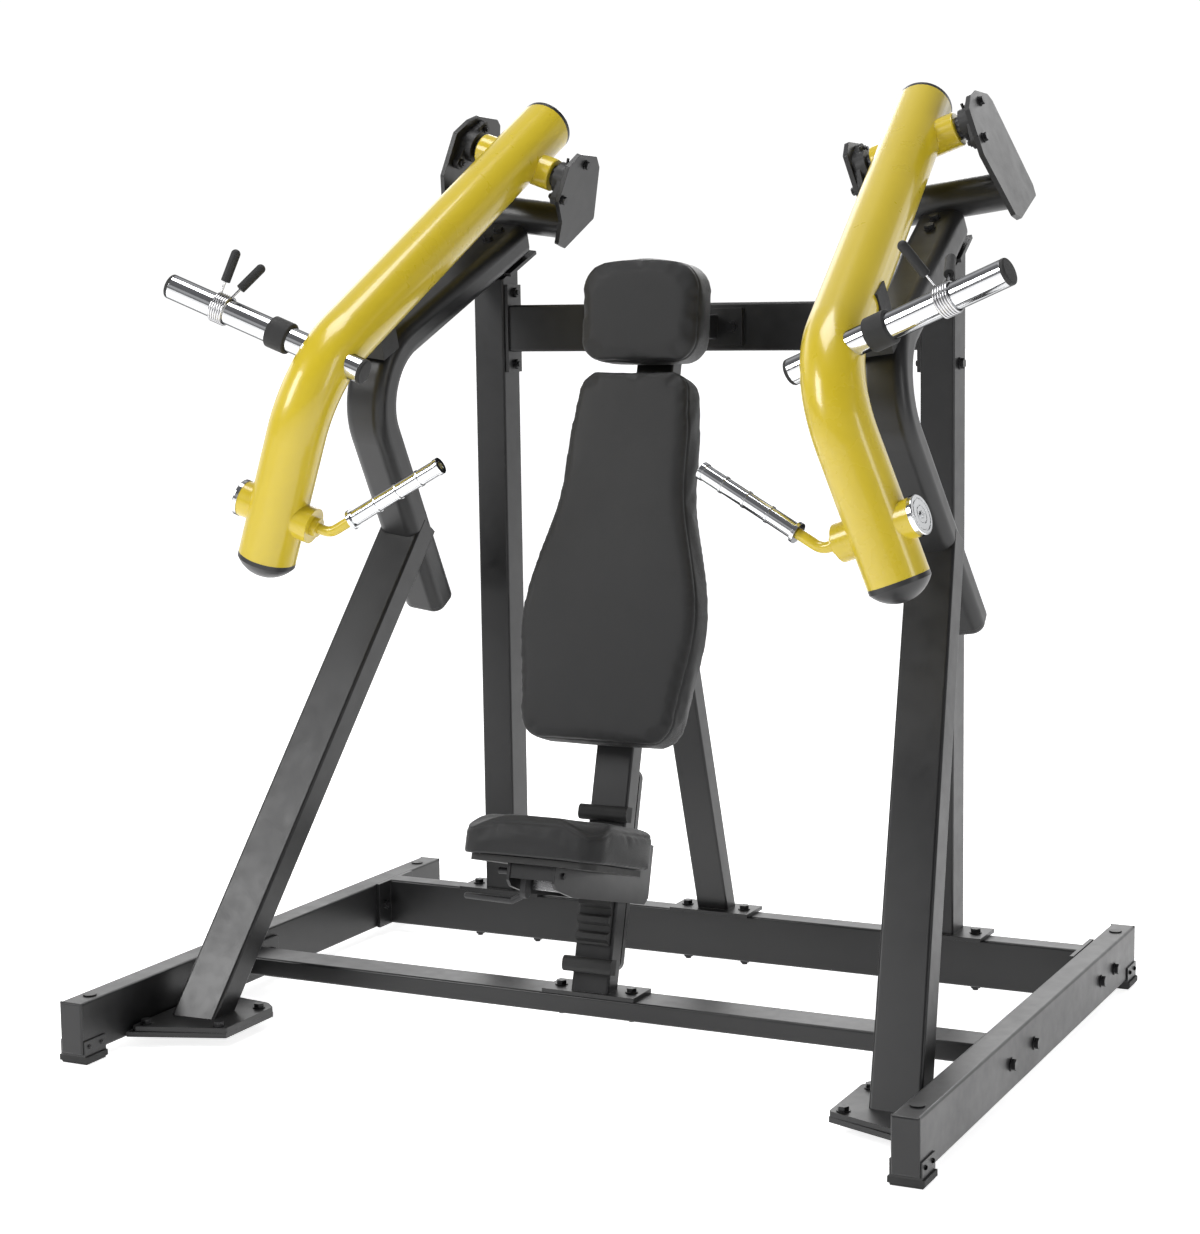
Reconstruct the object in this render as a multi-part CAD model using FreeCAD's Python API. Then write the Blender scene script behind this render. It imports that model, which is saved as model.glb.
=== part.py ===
import FreeCAD, Part
import math
import os

# Plate-loaded chest press with two independent arms. Millimetres, +Z up.
# The seated user faces -Y. X = 0 is the mirror plane; the origin is on the
# floor below the middle of the side rails.

V = FreeCAD.Vector
os.makedirs("parts", exist_ok=True)

# ---------------------------------------------------------------- base frame
RAIL_W, RAIL_H, RAIL_LEN = 50.0, 100.0, 1352.0
RAIL_X = 832.0                      # rail centre line
FLOOR_GAP = 20.0                    # underside of the rails above the floor
WALL = 3.0                          # wall of every steel tube
TUBE_CORNER = 5.0                   # outer corner radius of rectangular tube
CAP_T = 6.0                         # visible flange of a rail end cap
REAR_Y, REAR_W, REAR_H = 462.0, 50.0, 100.0
FRONT_Y, FRONT_W, FRONT_H = -115.0, 82.0, 38.0
FRONT_TOP = 88.0
FLANGE_T = 8.0
FOOT_Y = 640.0                      # foot centre, front and rear
FOOT_SIZE = 64.0

# ------------------------------------------------------- uprights, upper beam
UPRIGHT_X, UPRIGHT = 508.0, 72.0
UPPER_Z, UPPER_H, UPPER_W = 1366.0, 100.0, 50.0

# ------------------------------------------- leaning side frame (right side)
SIDE_LEAN, SIDE_TOE = 7.5, 2.0      # degrees
BEND_POINT = V(549, -55, 1290)      # where the bent tube's centre lines meet
BENT_W, BENT_D, BENT_R = 95.0, 72.0, 24.0
BENT_LOWER_ANGLE, BENT_LOWER_LEN = 35.6, 612.0
BENT_UPPER_RISE, BENT_UPPER_LEN = 26.2, 622.0
BENT_BEND_R = 135.0
LEG_W, LEG_D, LEG_ANGLE = 96.0, 61.0, 32.8
LEG_POINT = (207.0, -408.0)         # a point of the leg's centre line, side-frame axes
LEG_PLATE_TOP, LEG_PLATE_T = 40.0, 10.0

# --------------------------------------------------------------- swinging arm
ARM_TILT, ARM_TOE = 19.5, 6.0       # plane of the arm: lean inwards, sweep
ARM_DATUM = V(448, 429, 1717)       # a point on the centre line of the upper run
ARM_R, ARM_RISE = 58.0, 32.0        # tube radius, slope of the upper part
ARM_UPPER, ARM_TAIL = 805.0, 151.0  # datum to bend, datum to the top end
ARM_LOWER, ARM_LOWER_SWEEP = 386.0, 4.0
ARM_BEND_R = 215.0
DOME_SKIRT, DOME = 9.0, 32.0         # black end caps: straight part, then the dome
PIVOT_BACK, PIVOT_RISE = 42.0, 2.0  # pivot from the datum, in the arm's plane
HUB_R, HUB_HALF = 35.0, 92.0
SHAFT_R, JOURNAL_R, RUN_FIT = 12.5, 19.0, 0.05
PLATE_IN, PLATE_T = 131.0, 10.0     # bearing plates, from the middle of the hub
BEARING_PITCH = 99.0
CROSS_R = 38.0
CROSS_IN, CROSS_OUT = (44.0, -88.0), (42.0, -143.0)
PLATE_OUT_SHAPE = [(-19, 50), (18, 62), (98, 60), (118, 48), (207, -128), (203, -152), (44, -206),
                   (14, -198), (-64, -76), (-60, 20)]
PLATE_IN_SHAPE = [(-6, 61), (70, 60), (97, 38), (142, -76), (46, -146), (10, -138), (-2, -88), (-44, -46),
                  (-42, 32)]

# -------------------------------------------------- weight horn, spring collar
HORN_R = 25.0
HORN_SHIFT = (52.0, 31.0)           # horn axis from the arm's bend point
HORN_TILT = 2.8                     # rise of the horn from square to the arm's plane
HORN_IN, HORN_OUT = -78.0, 362.0
RING_IN, RING_OUT, RING_R = 86.0, 130.0, 32.0
COLLAR_POS, COIL_WIRE, COIL_TURNS = 246.0, 5.0, 6
LEFT_LEGS = [(-1, (-34.0, 40.0, 96.0)), (1, (12.0, 10.0, 110.0))]
RIGHT_LEGS = [(-1, (-27.0, -34.0, 112.0)), (1, (-2.0, 82.0, 74.0))]
COLLAR_GRIP_R = 9.5

# --------------------------------------------------------------------- handle
HANDLE_DROP = 291.0                 # handle hub below the bend, along the tube
LOW_HUB_R, LOW_HUB_IN, LOW_HUB_OUT = 36.0, -82.0, 76.0
DISC_T, DISC_R = 10.0, 37.0
ROD_R, ROD_STRAIGHT, ROD_ANGLE = 10.5, 120.0, 48.7
ROD_BEND_R = 34.0
GRIP_START, GRIP_END, GRIP_R = 54.0, 277.0, 15.5

# -------------------------------------------------------------- seat and back
POST_W, POST_D, POST_LEAN = 80.0, 45.0, 15.5
POST_FRONT_Y, POST_BASE_Z = -147.0, 96.0
POST_TOP = 1352.0                   # length of the post along its slope
STRUT_W, STRUT_D = 70.0, 45.0
STRUT_SLOPE = 0.32
BOLT_R = 6.0
SEAT_W, SEAT_LEN, SEAT_T = 288.0, 256.0, 72.0
SEAT_FRONT_R, SEAT_REAR_R = 40.0, 26.0
SEAT_BOTTOM, SEAT_REAR = -45.0, -70.0
RACK_PITCH = 33.0


def save(name, *solids):
    """Write the solids of one node; several solids stay separate."""
    shape = solids[0] if len(solids) == 1 else Part.makeCompound(list(solids))
    for solid in shape.Solids:
        if not solid.isValid():
            print("INVALID", name)
    shape.exportStep("parts/" + name + ".step")
    volume = sum(s.Volume for s in shape.Solids)
    print("%-26s %2d solids %9.0f mm3" % (name, len(shape.Solids), volume))


def mirrored(shape):
    return shape.mirror(V(0, 0, 0), V(1, 0, 0))


def save_pair(name, *solids):
    save("right_" + name, *solids)
    save("left_" + name, *[mirrored(s) for s in solids])


def both(*solids):
    return list(solids) + [mirrored(s) for s in solids]


def block(x0, x1, y0, y1, z0, z1):
    return Part.makeBox(x1 - x0, y1 - y0, z1 - z0, V(x0, y0, z0))


def rod(a, b, radius):
    return Part.makeCylinder(radius, (b - a).Length, a, b - a)


def prism(points, direction):
    """Extrude a closed polygon of points along a vector."""
    return Part.Face(Part.makePolygon(points + [points[0]])).extrude(direction)


def fuse(first, *others):
    return first.multiFuse(list(others)).removeSplitter()


def place(shape, origin, ax, ay, az):
    """Move a shape from a local frame with axes ax, ay, az to the machine."""
    matrix = FreeCAD.Matrix(ax.x, ay.x, az.x, origin.x, ax.y, ay.y, az.y, origin.y,
                            ax.z, ay.z, az.z, origin.z, 0, 0, 0, 1)
    moved = shape.copy()
    moved.Placement = FreeCAD.Placement(matrix).multiply(moved.Placement)
    return moved


def leaning_axes(tilt, toe):
    """Outward, rearward and upward axes of a plane that leans inwards."""
    t, a = math.radians(tilt), math.radians(toe)
    out = V(math.cos(t) * math.cos(a), math.cos(t) * math.sin(a), math.sin(t))
    back = V(0, 1, 0) - out * out.y
    back.normalize()
    return out, back, out.cross(back)


def hex_bolt(seat, direction, grip, nut=True, radius=BOLT_R):
    """Bolt whose head sits at seat; direction runs from the head to the tip."""
    d = V(direction).normalize()
    head_r, head_h, washer_h = radius * 1.75, radius * 1.25, 2.0
    turn = FreeCAD.Rotation(V(0, 0, 1), d)

    def hexagon(start, height):
        corners = [V(head_r * math.cos(math.radians(60 * i)), head_r * math.sin(math.radians(60 * i)), 0)
                   for i in range(6)]
        prism_ = prism(corners, V(0, 0, height))
        prism_.Placement = FreeCAD.Placement(start, turn)
        return prism_

    parts = [hexagon(seat - d * (washer_h + head_h), head_h), rod(seat - d * washer_h, seat, radius * 2.1)]
    tail = 0.0
    if nut:
        tail = head_h + 4.0
        parts.append(hexagon(seat + d * grip, head_h))
    parts.append(rod(seat - d * washer_h, seat + d * (grip + tail), radius))
    return fuse(*parts)


def drill(shape, seat, direction, depth, radius=BOLT_R + 0.3):
    d = V(direction).normalize()
    return shape.cut(rod(seat - d * 1.0, seat + d * depth, radius))


def rounded_section(width, depth, corner, origin, u, v):
    """Rounded rectangle face, width along u and depth along v."""
    w, d, edges = width / 2, depth / 2, []
    centres = [(w - corner, d - corner, 0), (corner - w, d - corner, 90),
               (corner - w, corner - d, 180), (w - corner, corner - d, 270)]

    def at(cx, cy, angle):
        a = math.radians(angle)
        return origin + u * (cx + corner * math.cos(a)) + v * (cy + corner * math.sin(a))

    for i, (cx, cy, start) in enumerate(centres):
        edges.append(Part.Arc(at(cx, cy, start), at(cx, cy, start + 45), at(cx, cy, start + 90)).toShape())
        nx, ny, nstart = centres[(i + 1) % 4]
        edges.append(Part.makeLine(at(cx, cy, start + 90), at(nx, ny, nstart)))
    return Part.Face(Part.Wire(edges))


def bent_bar(section, start, bend, end, radius):
    """Sweep a section along two straight runs joined by an arc."""
    d1 = (bend - start).normalize()
    d2 = (end - bend).normalize()
    turn = d1.getAngle(d2)
    tangent = radius * math.tan(turn / 2)
    axis = d1.cross(d2).normalize()
    a = bend - d1 * tangent
    b = bend + d2 * tangent
    centre = a + axis.cross(d1) * radius
    first = section(start, d1).extrude(a - start)
    middle = section(a, d1).revolve(centre, axis, math.degrees(turn))
    last = section(b, d2).extrude(end - b)
    return fuse(first, middle, last)


def round_long_edges(box, along, radius):
    """Round the four edges of a box that run along one axis."""
    def length(edge):
        size = edge.BoundBox
        return {"x": size.XLength, "y": size.YLength, "z": size.ZLength}[along]
    whole = max(length(e) for e in box.Edges)
    return box.makeFillet(radius, [e for e in box.Edges if length(e) > whole - 0.01])


def tube_box(x0, x1, y0, y1, z0, z1, along):
    """Rectangular tube with round corners and open ends along one axis."""
    gx, gy, gz = {"x": (0, WALL, WALL), "y": (WALL, 0, WALL), "z": (WALL, WALL, 0)}[along]
    outer = round_long_edges(block(x0, x1, y0, y1, z0, z1), along, TUBE_CORNER)
    inner = block(x0 + gx, x1 - gx, y0 + gy, y1 - gy, z0 + gz, z1 - gz)
    return outer.cut(round_long_edges(inner, along, TUBE_CORNER - WALL))


# ---------------------------------------------------------------------- base
RAIL_Z0, RAIL_Z1 = FLOOR_GAP, FLOOR_GAP + RAIL_H
RAIL_IN, RAIL_OUT = RAIL_X - RAIL_W / 2, RAIL_X + RAIL_W / 2
RAIL_END = RAIL_LEN / 2
FRONT_BOLT_DY, REAR_BOLT_DY = 70.0, 50.0
BEAM_BOLT_Z = 69.0


def side_rail():
    y = RAIL_END - CAP_T
    rail = tube_box(RAIL_IN, RAIL_OUT, -y, y, RAIL_Z0, RAIL_Z1, "y")
    low = RAIL_Z0
    corners = [(622, -472), (RAIL_IN, -540), (RAIL_IN, -262), (648, -288), (622, -310)]
    plate = prism([V(x, y, low) for x, y in corners], V(0, 0, LEG_PLATE_T))
    rail = fuse(rail, plate)
    for centre, dy in ((FRONT_Y, FRONT_BOLT_DY), (REAR_Y, REAR_BOLT_DY)):
        for side in (-1, 1):
            rail = drill(rail, V(RAIL_OUT, centre + side * dy, BEAM_BOLT_Z), V(-1, 0, 0), RAIL_W + 2)
    for x, y in LEG_BOLTS:
        rail = drill(rail, V(x, y, RAIL_Z0 + LEG_PLATE_T), V(0, 0, -1), LEG_PLATE_T + 2)
    for y in PLUG_Y:
        rail = rail.cut(rod(V(RAIL_X, y, RAIL_Z1 - 5), V(RAIL_X, y, RAIL_Z1 + 1), 9.0))
    return rail


LEG_BOLTS = [(645.0, -462.0), (645.0, -325.0), (785.0, -505.0), (785.0, -290.0)]
PLUG_Y = [-615.0, 612.0]


def rail_end_cap(front):
    """Moulded cap: a rounded flange outside and a plug inside the rail."""
    s = -1 if front else 1
    face = s * RAIL_END
    start = face - s * CAP_T
    flange = block(RAIL_IN, RAIL_OUT, min(face, start), max(face, start), RAIL_Z0, RAIL_Z1)
    outer = [e for e in flange.Edges if all(abs(v.Y - face) < 0.01 for v in e.Vertexes)]
    flange = flange.makeFillet(4.0, outer)
    gap = WALL + 0.3
    inner = start - s * 28.0
    y0, y1 = sorted((inner, start))
    plug = block(RAIL_IN + gap, RAIL_OUT - gap, y0, y1, RAIL_Z0 + gap, RAIL_Z1 - gap)
    plug = round_long_edges(plug, "y", 3.0)
    return fuse(flange, plug)


def plug_disc(y):
    disc = rod(V(RAIL_X, y, RAIL_Z1), V(RAIL_X, y, RAIL_Z1 + 2.5), 13.0)
    stem = rod(V(RAIL_X, y, RAIL_Z1 - 8), V(RAIL_X, y, RAIL_Z1), 8.8)
    return fuse(disc, stem)


def foot_bracket(y):
    """U bracket that wraps the rail's lower edges and holds the foot."""
    half, wall, gap = FOOT_SIZE / 2, 3.0, 0.2
    outer = block(RAIL_IN - wall - gap, RAIL_OUT + wall + gap, y - half, y + half, RAIL_Z0 - 4, RAIL_Z0 + 26)
    inner = block(RAIL_IN - gap, RAIL_OUT + gap, y - half - 1, y + half + 1, RAIL_Z0, RAIL_Z0 + 30)
    bracket = outer.cut(inner)
    for dy in (-18.0, 18.0):
        for x, d in ((RAIL_OUT + wall + gap, 1), (RAIL_IN - wall - gap, -1)):
            rivet = Part.makeSphere(4.5, V(x, y + dy, RAIL_Z0 + 14)).common(
                rod(V(x, y + dy, RAIL_Z0 + 14), V(x + d * 4, y + dy, RAIL_Z0 + 14), 5))
            bracket = bracket.fuse(rivet)
    return bracket.removeSplitter()


def rubber_foot(y):
    half = FOOT_SIZE / 2
    top = block(RAIL_X - half, RAIL_X + half, y - half, y + half, 5, RAIL_Z0 - 4)
    sole = block(RAIL_X - half + 3, RAIL_X + half - 3, y - half + 3, y + half - 3, 0, 5)
    foot = fuse(top, sole)
    rim = [e for e in foot.Edges if abs(e.BoundBox.ZMin) < 0.01 and e.BoundBox.ZLength < 0.01]
    return foot.makeFillet(2.0, rim)


def rear_cross_beam():
    x = RAIL_IN - FLANGE_T
    beam = tube_box(-x, x, REAR_Y - REAR_W / 2, REAR_Y + REAR_W / 2, RAIL_Z0, RAIL_Z1, "x")
    half = REAR_BOLT_DY + 24
    flange = block(x, RAIL_IN, REAR_Y - half, REAR_Y + half, RAIL_Z0, RAIL_Z1)
    for dy in (-REAR_BOLT_DY, REAR_BOLT_DY):
        flange = drill(flange, V(RAIL_IN, REAR_Y + dy, BEAM_BOLT_Z), V(-1, 0, 0), FLANGE_T + 2)
    beam = fuse(beam, flange, mirrored(flange))
    for x in UPRIGHT_BOLTS + STRUT_BOLTS:
        for side in (-1, 1):
            beam = drill(beam, V(side * x, REAR_Y, RAIL_Z1), V(0, 0, -1), REAR_H + 2)
    return beam


def front_cross_beam():
    x = RAIL_IN - FLANGE_T
    low = FRONT_TOP - FRONT_H
    beam = tube_box(-x, x, FRONT_Y - FRONT_W / 2, FRONT_Y + FRONT_W / 2, low, FRONT_TOP, "x")
    half = FRONT_BOLT_DY + 24
    flange = block(x, RAIL_IN, FRONT_Y - half, FRONT_Y + half, low - 12, FRONT_TOP + 12)
    for dy in (-FRONT_BOLT_DY, FRONT_BOLT_DY):
        flange = drill(flange, V(RAIL_IN, FRONT_Y + dy, BEAM_BOLT_Z), V(-1, 0, 0), FLANGE_T + 2)
    beam = fuse(beam, flange, mirrored(flange))
    for side in (-1, 1):
        beam = drill(beam, V(side * POST_BOLT_X, FRONT_Y, FRONT_TOP), V(0, 0, -1), FRONT_H + 2)
    return beam


UPRIGHT_BOLTS = [UPRIGHT_X - 73.0, UPRIGHT_X + 73.0]
STRUT_BOLTS = [66.0]
POST_BOLT_X = 76.0


def rail_bolts():
    bolts = []
    for centre, dy in ((FRONT_Y, FRONT_BOLT_DY), (REAR_Y, REAR_BOLT_DY)):
        for side in (-1, 1):
            seat = V(RAIL_OUT, centre + side * dy, BEAM_BOLT_Z)
            bolts.append(hex_bolt(seat, V(-1, 0, 0), RAIL_W + FLANGE_T))
    return both(*bolts)


# ------------------------------------------------------------ leaning frame
SIDE_OUT, SIDE_BACK, SIDE_UP = leaning_axes(SIDE_LEAN, SIDE_TOE)
LOWER_DIR = V(0, math.sin(math.radians(BENT_LOWER_ANGLE)), -math.cos(math.radians(BENT_LOWER_ANGLE)))
UPPER_DIR = V(0, math.cos(math.radians(BENT_UPPER_RISE)), math.sin(math.radians(BENT_UPPER_RISE)))
LEG_DIR = V(0, math.sin(math.radians(LEG_ANGLE)), math.cos(math.radians(LEG_ANGLE)))


def to_side(shape):
    return place(shape, BEND_POINT, SIDE_OUT, SIDE_BACK, SIDE_UP)


def bent_outline(shrink):
    """The bent tube, thinner by shrink on every side, in side-frame axes."""
    def section(origin, direction):
        side = V(1, 0, 0)
        return rounded_section(BENT_W - 2 * shrink, BENT_D - 2 * shrink, BENT_R - shrink, origin,
                               side, side.cross(direction))
    return bent_bar(section, LOWER_DIR * BENT_LOWER_LEN, V(0, 0, 0), UPPER_DIR * BENT_UPPER_LEN, BENT_BEND_R)


def leg_outline(shrink):
    centre = V(0, *LEG_POINT)
    start = centre - LEG_DIR * 1180
    face = rounded_section(LEG_W - 2 * shrink, LEG_D - 2 * shrink, 6.0 - shrink, start, V(1, 0, 0),
                           V(1, 0, 0).cross(LEG_DIR))
    return face.extrude(LEG_DIR * 1275)


def above_leg_plate():
    return block(300, 1100, -1200, 1200, LEG_PLATE_TOP, 1200)


def front_leg():
    solid = to_side(leg_outline(0)).common(above_leg_plate())
    hollow = to_side(leg_outline(WALL)).common(above_leg_plate())
    leg = solid.cut(hollow).cut(to_side(bent_outline(0)))
    leg = max(leg.Solids, key=lambda s: s.Volume)
    low = LEG_PLATE_TOP - LEG_PLATE_T
    corners = [(622, -472), (802, -534), (802, -266), (648, -288), (622, -310)]
    plate = prism([V(x, y, low) for x, y in corners], V(0, 0, LEG_PLATE_T))
    corners = [e for e in plate.Edges if abs(e.BoundBox.ZLength - LEG_PLATE_T) < 0.01]
    plate = plate.makeFillet(8.0, corners)
    leg = fuse(leg, plate)
    for x, y in LEG_BOLTS:
        leg = drill(leg, V(x, y, LEG_PLATE_TOP), V(0, 0, -1), LEG_PLATE_T + 1)
    return leg


def rest_stop_pad():
    """Rubber saddle on top of the bent tube that the resting arm lies in."""
    pad = block(-46, 34, 40, 96, 10, 130)
    slope = FreeCAD.Rotation(V(1, 0, 0), BENT_UPPER_RISE)
    pad.Placement = FreeCAD.Placement(V(0, 0, 0), slope)
    pad = to_side(pad).cut(to_side(bent_outline(0))).cut(to_arm(arm_outline(ARM_R + REST_GAP)))
    return min(pad.Solids, key=lambda s: abs(s.CenterOfMass.z - REST_PAD_Z))


REST_GAP, REST_PAD_Z = 0.6, 1345.0


def bent_frame_tube():
    tube = to_side(bent_outline(0)).cut(to_side(bent_outline(WALL)))
    for s in TOP_BOLTS:
        tube = drill(tube, side_point(s, BENT_D / 2), -top_normal(), BENT_D + 2)
    return tube


TOP_BOLTS = [538.0, 584.0]


def side_point(s, h):
    """Point at distance s along the upper run and h above its centre line."""
    local = UPPER_DIR * s + V(0, -UPPER_DIR.z, UPPER_DIR.y) * h
    return BEND_POINT + SIDE_BACK * local.y + SIDE_UP * local.z


def top_normal():
    return (SIDE_UP * UPPER_DIR.y - SIDE_BACK * UPPER_DIR.z).normalize()


def bent_tube_cap():
    """Rounded plug in the free lower end of the bent tube."""
    def section(origin, shrink):
        return rounded_section(BENT_W - 2 * shrink, BENT_D - 2 * shrink, BENT_R - shrink, origin,
                               V(1, 0, 0), V(1, 0, 0).cross(LOWER_DIR))
    end = LOWER_DIR * BENT_LOWER_LEN
    flange = section(end, 0).extrude(LOWER_DIR * 14)
    rim = [e for e in flange.Edges if all((v.Point - end).dot(LOWER_DIR) > 13.9 for v in e.Vertexes)]
    flange = flange.makeFillet(10.0, rim)
    plug = section(end - LOWER_DIR * 25, WALL + 0.3).extrude(LOWER_DIR * 25)
    return to_side(fuse(flange, plug))


# ---------------------------------------------------------------- rear frame
UPRIGHT_PLATE_T = 8.0


def upright():
    half = UPRIGHT / 2
    low = RAIL_Z1 + UPRIGHT_PLATE_T
    box = (UPRIGHT_X - half, UPRIGHT_X + half, REAR_Y - half, REAR_Y + half)
    column = tube_box(*box, low, 1700, "z")
    plate_low = -BENT_D / 2 - UPRIGHT_PLATE_T
    keep = to_side(block(-700, 700, -2000, 2000, -3000, plate_low).copy())
    slope = FreeCAD.Rotation(SIDE_OUT, BENT_UPPER_RISE)
    keep.Placement = FreeCAD.Placement(BEND_POINT, slope).multiply(
        FreeCAD.Placement(-BEND_POINT, FreeCAD.Rotation())).multiply(keep.Placement)
    column = column.common(keep)
    top = block(-46, 46, 535, 648, plate_low, plate_low + UPRIGHT_PLATE_T)
    for s in TOP_BOLTS:
        top = drill(top, V(0, s, plate_low + UPRIGHT_PLATE_T), V(0, 0, -1), UPRIGHT_PLATE_T + 1)
    top = to_side(top)
    top.Placement = FreeCAD.Placement(BEND_POINT, slope).multiply(
        FreeCAD.Placement(-BEND_POINT, FreeCAD.Rotation())).multiply(top.Placement)
    foot = block(UPRIGHT_X - 98, UPRIGHT_X + 98, REAR_Y - 46, REAR_Y + 46, RAIL_Z1, low)
    post = fuse(column, top, foot)
    for x in UPRIGHT_BOLTS:
        post = drill(post, V(x, REAR_Y, low), V(0, 0, -1), UPRIGHT_PLATE_T + 1)
    for dz in (-UPPER_BOLT_DZ, UPPER_BOLT_DZ):
        post = drill(post, V(UPRIGHT_X + half, REAR_Y, UPPER_Z + dz), V(-1, 0, 0), UPRIGHT + 2)
    return post


UPPER_BOLT_DZ = 77.0


def upper_cross_beam():
    x = UPRIGHT_X - UPRIGHT / 2
    beam = tube_box(-x + FLANGE_T, x - FLANGE_T, REAR_Y - UPPER_W / 2, REAR_Y + UPPER_W / 2,
                    UPPER_Z - UPPER_H / 2, UPPER_Z + UPPER_H / 2, "x")
    flange = block(x - FLANGE_T, x, REAR_Y - 30, REAR_Y + 30, UPPER_Z - 94, UPPER_Z + 94)
    for dz in (-UPPER_BOLT_DZ, UPPER_BOLT_DZ):
        flange = drill(flange, V(x, REAR_Y, UPPER_Z + dz), V(-1, 0, 0), FLANGE_T + 1)
    beam = fuse(beam, flange, mirrored(flange))
    for side in (-1, 1):
        beam = drill(beam, V(side * TIE_BOLT_X, REAR_Y - UPPER_W / 2, UPPER_Z), V(0, 1, 0), UPPER_W + 2)
    return beam


TIE_BOLT_X = 62.0


def upright_bolts():
    low = RAIL_Z1 + UPRIGHT_PLATE_T
    bolts = [hex_bolt(V(x, REAR_Y, low), V(0, 0, -1), UPRIGHT_PLATE_T + REAR_H) for x in UPRIGHT_BOLTS]
    for dz in (-UPPER_BOLT_DZ, UPPER_BOLT_DZ):
        seat = V(UPRIGHT_X + UPRIGHT / 2, REAR_Y, UPPER_Z + dz)
        bolts.append(hex_bolt(seat, V(-1, 0, 0), UPRIGHT + FLANGE_T))
    for s in TOP_BOLTS:
        bolts.append(hex_bolt(side_point(s, BENT_D / 2), -top_normal(), BENT_D + UPRIGHT_PLATE_T, nut=False))
    return both(*bolts)


def leg_bolts():
    return both(*[hex_bolt(V(x, y, LEG_PLATE_TOP), V(0, 0, -1), 2 * LEG_PLATE_T - 3, nut=False)
                  for x, y in LEG_BOLTS])


# ---------------------------------------------------------------------- arm
ARM_OUT, ARM_BACK, ARM_UP = leaning_axes(ARM_TILT, -ARM_TOE)
ARM_DIR = V(0, math.cos(math.radians(ARM_RISE)), math.sin(math.radians(ARM_RISE)))
ARM_BEND = ARM_DIR * -ARM_UPPER
DOWN_DIR = V(0, math.sin(math.radians(ARM_LOWER_SWEEP)), -math.cos(math.radians(ARM_LOWER_SWEEP)))
HORN_AT = ARM_BEND + V(0, *HORN_SHIFT)
HANDLE_POS = ARM_BEND + DOWN_DIR * HANDLE_DROP


PIVOT = ARM_DATUM + ARM_BACK * PIVOT_BACK + ARM_UP * PIVOT_RISE
PIVOT_AXES = leaning_axes(ARM_TILT, 0)
HORN_TURN = FreeCAD.Rotation(V(0, 1, 0), -HORN_TILT)


def to_arm(shape):
    return place(shape, ARM_DATUM, ARM_OUT, ARM_BACK, ARM_UP)


def to_pivot(shape):
    """Frame of the pivot: x along its axis, y rearwards."""
    return place(shape, PIVOT, *PIVOT_AXES)


def to_horn(shape):
    """Frame of the weight horn: x along its axis."""
    moved = shape.copy()
    moved.Placement = FreeCAD.Placement(HORN_AT, HORN_TURN).multiply(moved.Placement)
    return to_arm(moved)


def arm_outline(radius):
    def section(origin, direction):
        return Part.Face(Part.Wire(Part.makeCircle(radius, origin, direction)))
    return bent_bar(section, ARM_DIR * ARM_TAIL, ARM_BEND, ARM_BEND + DOWN_DIR * ARM_LOWER, ARM_BEND_R)


def arm_tube():
    """Bent tube with the pivot hub and the handle hub welded through it."""
    hub = rod(V(-HUB_HALF, 0, 0), V(HUB_HALF, 0, 0), HUB_R)
    hub = hub.makeFillet(3.0, [e for e in hub.Edges if abs(e.BoundBox.XLength) < 0.01])
    h = HANDLE_POS
    low_hub = rod(h + V(LOW_HUB_IN, 0, 0), h + V(LOW_HUB_OUT, 0, 0), LOW_HUB_R)
    tube = arm_outline(ARM_R).cut(arm_outline(ARM_R - WALL))
    tube = fuse(tube, low_hub)
    tube = tube.cut(rod(h + V(LOW_HUB_IN - 1, 0, 0), h + V(LOW_HUB_OUT + 1, 0, 0), ROD_R + RUN_FIT))
    tube = tube.cut(rod(h + V(LOW_HUB_OUT - 16, 0, 0), h + V(LOW_HUB_OUT + 1, 0, 0), 24.0))
    tube = to_arm(tube).cut(to_horn(rod(V(-90, 0, 0), V(90, 0, 0), HORN_R)))
    tube = fuse(tube, to_pivot(hub))
    return tube.cut(to_pivot(rod(V(-HUB_HALF - 1, 0, 0), V(HUB_HALF + 1, 0, 0), SHAFT_R)))


def end_dome(end, direction):
    """Black domed plug in an open end of the arm tube."""
    base = end + direction * DOME_SKIRT
    sphere_r = (ARM_R ** 2 + DOME ** 2) / (2 * DOME)
    ball = Part.makeSphere(sphere_r, base - direction * (sphere_r - DOME))
    dome = ball.common(rod(base, base + direction * (DOME + 1), ARM_R))
    plug = rod(end - direction * 26, end, ARM_R - WALL - 0.3)
    return to_arm(fuse(dome, rod(end, base, ARM_R), plug))


def arm_end_caps():
    return [end_dome(ARM_DIR * ARM_TAIL, ARM_DIR), end_dome(ARM_BEND + DOWN_DIR * ARM_LOWER, DOWN_DIR)]


def pivot_shaft():
    """Shaft through the hub with a wider journal in each bearing."""
    end = PLATE_IN - 3.0
    shaft = rod(V(-end, 0, 0), V(end, 0, 0), SHAFT_R)
    for s in (-1, 1):
        shoulder = rod(V(s * (HUB_HALF + 0.5), 0, 0), V(s * (BEARING_FACE - 2), 0, 0), 23.0)
        journal = rod(V(s * (BEARING_FACE - 2), 0, 0), V(s * end, 0, 0), JOURNAL_R)
        shaft = shaft.fuse(shoulder).fuse(journal)
    return to_pivot(shaft.removeSplitter())


BEARING_FACE = PLATE_IN - 27.0


def bearing_bolt_offset():
    """Half the bolt pitch, along the long axis of the flange."""
    angle = math.radians(53.6)
    return V(0, math.cos(angle), math.sin(angle)) * (BEARING_PITCH / 2)


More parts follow.
